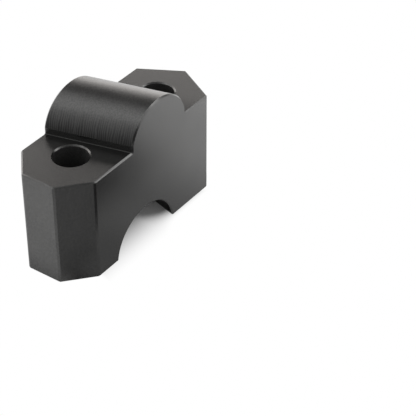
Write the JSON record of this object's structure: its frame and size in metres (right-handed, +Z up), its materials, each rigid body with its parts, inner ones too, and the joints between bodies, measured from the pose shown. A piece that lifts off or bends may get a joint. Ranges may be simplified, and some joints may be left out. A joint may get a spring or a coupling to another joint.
{
  "type": "motorcycle bar riser",
  "caption": "Block that lifts a motorcycle's handlebar: a round top and a saddle, each turned to its own side, bolt holes through the shoulders and a pointed end.",
  "frame": {"origin": "on the floor under the middle of the block, midway between the bolt holes, where the centreline crosses the axes of the round top and the saddle", "axes": "+X along the row of bolt holes towards the pointed end, +Y across the block, +Z up from the feet to the round top"},
  "size_m": [0.0784, 0.03, 0.0508],
  "materials": {
    "black_anodised": "satin black anodised, with fine marks from the cutter on the round top"
  },
  "bodies": {
    "root": {"riser_block": "black_anodised"}
  },
  "joints": []
}
